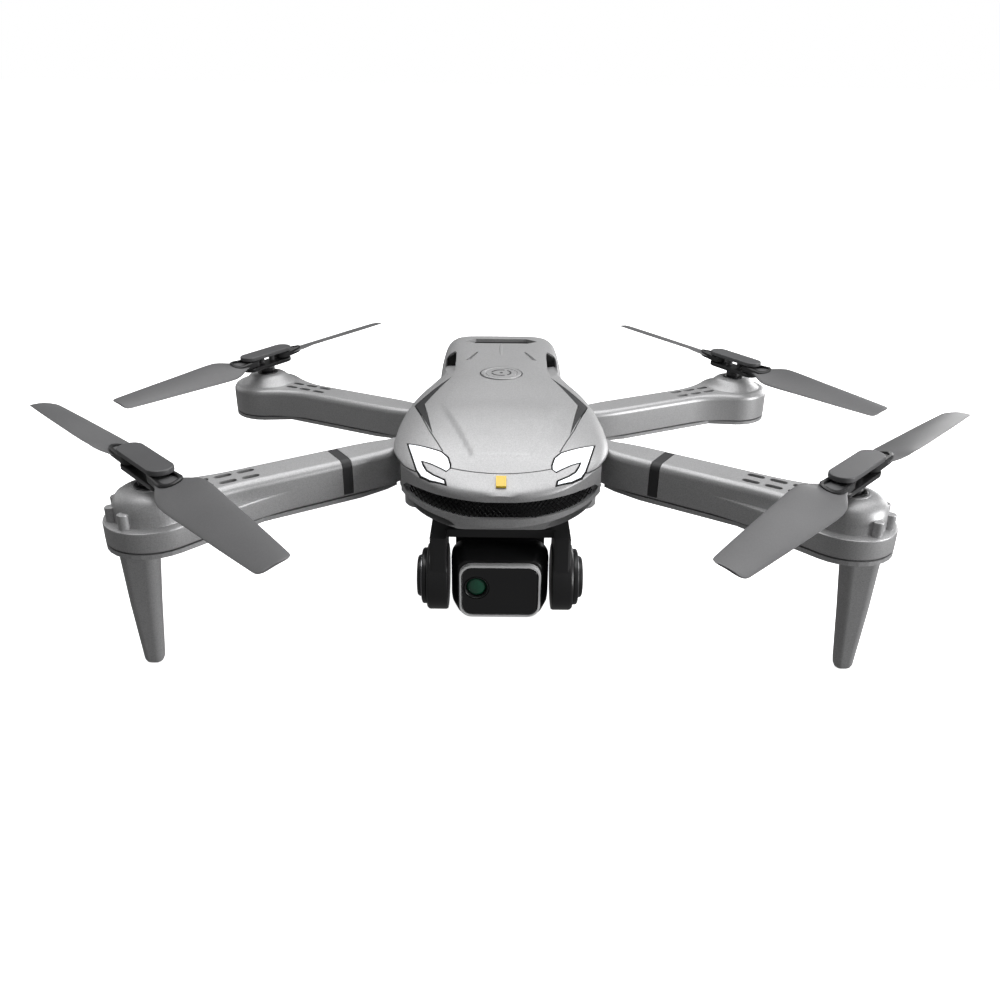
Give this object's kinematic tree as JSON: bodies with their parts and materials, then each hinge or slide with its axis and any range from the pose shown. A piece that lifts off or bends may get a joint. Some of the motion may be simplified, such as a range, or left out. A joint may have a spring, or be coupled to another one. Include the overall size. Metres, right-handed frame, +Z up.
{
  "type": "quadcopter drone",
  "caption": "Folding quadcopter drone with a sports-car style hull, hinged arms, folding propeller blades, tilting camera under the nose and slide-out battery.",
  "frame": {"origin": "on the ground under the middle of the unfolded drone, level with the feet of the two front legs", "axes": "+Z up, the nose and camera point along -Y, and the drone's own left side is +X"},
  "size_m": [0.282, 0.2455, 0.0595],
  "materials": {
    "silver_shell": "satin metallic silver paint on moulded ABS",
    "black_plastic": "satin black moulded plastic",
    "lamp_white": "clear white light guide, lit",
    "badge_yellow": "plain yellow sticker",
    "dark_inlay": "dark grey satin plastic",
    "circuit_board": "solder-masked board",
    "steel": "turned steel",
    "gloss_black": "polished black window",
    "trim_white": "white printed and moulded edge",
    "lens_glass": "coated lens glass",
    "hub_grey": "dark grey satin nylon",
    "blade_grey": "mid grey satin nylon"
  },
  "bodies": {
    "airframe": {"upper_shell": "silver_shell", "lower_shell": "silver_shell", "nose_bumper": "silver_shell", "grille": "black_plastic", "headlight_left": "lamp_white", "headlight_right": "lamp_white", "nose_badge": "badge_yellow", "accent_inlay_left": "dark_inlay", "accent_inlay_right": "dark_inlay", "main_board": "circuit_board", "hinge_pin_front_left": "steel", "hinge_pin_front_right": "steel", "hinge_pin_rear_left": "steel", "hinge_pin_rear_right": "steel", "gimbal_yoke": "black_plastic", "gimbal_cap_left": "black_plastic", "gimbal_cap_right": "black_plastic"},
    "power_button": {"power_button": "silver_shell"},
    "battery": {"battery_pack": "dark_inlay"},
    "camera": {"camera_housing": "black_plastic", "camera_face": "gloss_black", "camera_trim": "trim_white", "lens_barrel": "black_plastic", "lens_glass": "lens_glass"},
    "arm_front_left": {"arm_shell_front_left": "silver_shell", "arm_cover_front_left": "silver_shell", "motor_front_left": "steel", "arm_band_front_left": "dark_inlay", "landing_leg_front_left": "silver_shell"},
    "rotor_front_left": {"hub_base_front_left": "hub_grey", "hub_cap_front_left": "hub_grey"},
    "blade_front_left_a": {"blade_front_left_a": "blade_grey"},
    "blade_front_left_b": {"blade_front_left_b": "blade_grey"},
    "arm_rear_left": {"arm_shell_rear_left": "silver_shell", "arm_cover_rear_left": "silver_shell", "motor_rear_left": "steel"},
    "rotor_rear_left": {"hub_base_rear_left": "hub_grey", "hub_cap_rear_left": "hub_grey"},
    "blade_rear_left_a": {"blade_rear_left_a": "blade_grey"},
    "blade_rear_left_b": {"blade_rear_left_b": "blade_grey"},
    "arm_front_right": {"arm_shell_front_right": "silver_shell", "arm_cover_front_right": "silver_shell", "motor_front_right": "steel", "arm_band_front_right": "dark_inlay", "landing_leg_front_right": "silver_shell"},
    "rotor_front_right": {"hub_base_front_right": "hub_grey", "hub_cap_front_right": "hub_grey"},
    "blade_front_right_a": {"blade_front_right_a": "blade_grey"},
    "blade_front_right_b": {"blade_front_right_b": "blade_grey"},
    "arm_rear_right": {"arm_shell_rear_right": "silver_shell", "arm_cover_rear_right": "silver_shell", "motor_rear_right": "steel"},
    "rotor_rear_right": {"hub_base_rear_right": "hub_grey", "hub_cap_rear_right": "hub_grey"},
    "blade_rear_right_a": {"blade_rear_right_a": "blade_grey"},
    "blade_rear_right_b": {"blade_rear_right_b": "blade_grey"}
  },
  "joints": [
    {"name": "power_button_press", "type": "slide", "parent": "airframe", "child": "power_button", "axis": [0, 0, -1], "range_m": [0, 0.0006], "stiffness_N_per_m": 800},
    {"name": "battery_slide", "type": "slide", "parent": "airframe", "child": "battery", "axis": [0, 1, 0], "range_m": [0, 0.045]},
    {"name": "camera_tilt", "type": "hinge", "parent": "airframe", "child": "camera", "pos_m": [0, -0.051, 0.0148], "axis": [1, 0, 0], "range_deg": [-20, 80]},
    {"name": "arm_fold_front_left", "type": "hinge", "parent": "airframe", "child": "arm_front_left", "pos_m": [0.0255, -0.0266, 0.0379], "axis": [0, 0, 1], "range_deg": [0, 80]},
    {"name": "rotor_spin_front_left", "type": "hinge", "parent": "arm_front_left", "child": "rotor_front_left", "pos_m": [0.0907, -0.06975, 0.0565], "axis": [0, 0, 1], "continuous": true},
    {"name": "blade_fold_front_left_a", "type": "hinge", "parent": "rotor_front_left", "child": "blade_front_left_a", "pos_m": [0.0966, -0.06349, 0.0565], "axis": [0, 0, 1], "range_deg": [-100, 100]},
    {"name": "blade_fold_front_left_b", "type": "hinge", "parent": "rotor_front_left", "child": "blade_front_left_b", "pos_m": [0.0848, -0.07601, 0.0565], "axis": [0, 0, 1], "range_deg": [-100, 100]},
    {"name": "arm_fold_rear_left", "type": "hinge", "parent": "airframe", "child": "arm_rear_left", "pos_m": [0.024, 0.03, 0.027], "axis": [0, 0, 1], "range_deg": [-36, 0]},
    {"name": "rotor_spin_rear_left", "type": "hinge", "parent": "arm_rear_left", "child": "rotor_rear_left", "pos_m": [0.0924, 0.06375, 0.0465], "axis": [0, 0, 1], "continuous": true},
    {"name": "blade_fold_rear_left_a", "type": "hinge", "parent": "rotor_rear_left", "child": "blade_rear_left_a", "pos_m": [0.08779, 0.07101, 0.0465], "axis": [0, 0, 1], "range_deg": [-100, 100]},
    {"name": "blade_fold_rear_left_b", "type": "hinge", "parent": "rotor_rear_left", "child": "blade_rear_left_b", "pos_m": [0.09701, 0.05649, 0.0465], "axis": [0, 0, 1], "range_deg": [-100, 100]},
    {"name": "arm_fold_front_right", "type": "hinge", "parent": "airframe", "child": "arm_front_right", "pos_m": [-0.0255, -0.0266, 0.0379], "axis": [0, 0, -1], "range_deg": [0, 80]},
    {"name": "rotor_spin_front_right", "type": "hinge", "parent": "arm_front_right", "child": "rotor_front_right", "pos_m": [-0.0907, -0.06975, 0.0565], "axis": [0, 0, 1], "continuous": true},
    {"name": "blade_fold_front_right_a", "type": "hinge", "parent": "rotor_front_right", "child": "blade_front_right_a", "pos_m": [-0.0966, -0.06349, 0.0565], "axis": [0, 0, -1], "range_deg": [-100, 100]},
    {"name": "blade_fold_front_right_b", "type": "hinge", "parent": "rotor_front_right", "child": "blade_front_right_b", "pos_m": [-0.0848, -0.07601, 0.0565], "axis": [0, 0, -1], "range_deg": [-100, 100]},
    {"name": "arm_fold_rear_right", "type": "hinge", "parent": "airframe", "child": "arm_rear_right", "pos_m": [-0.024, 0.03, 0.027], "axis": [0, 0, -1], "range_deg": [-36, 0]},
    {"name": "rotor_spin_rear_right", "type": "hinge", "parent": "arm_rear_right", "child": "rotor_rear_right", "pos_m": [-0.0924, 0.06375, 0.0465], "axis": [0, 0, 1], "continuous": true},
    {"name": "blade_fold_rear_right_a", "type": "hinge", "parent": "rotor_rear_right", "child": "blade_rear_right_a", "pos_m": [-0.08779, 0.07101, 0.0465], "axis": [0, 0, -1], "range_deg": [-100, 100]},
    {"name": "blade_fold_rear_right_b", "type": "hinge", "parent": "rotor_rear_right", "child": "blade_rear_right_b", "pos_m": [-0.09701, 0.05649, 0.0465], "axis": [0, 0, -1], "range_deg": [-100, 100]}
  ]
}
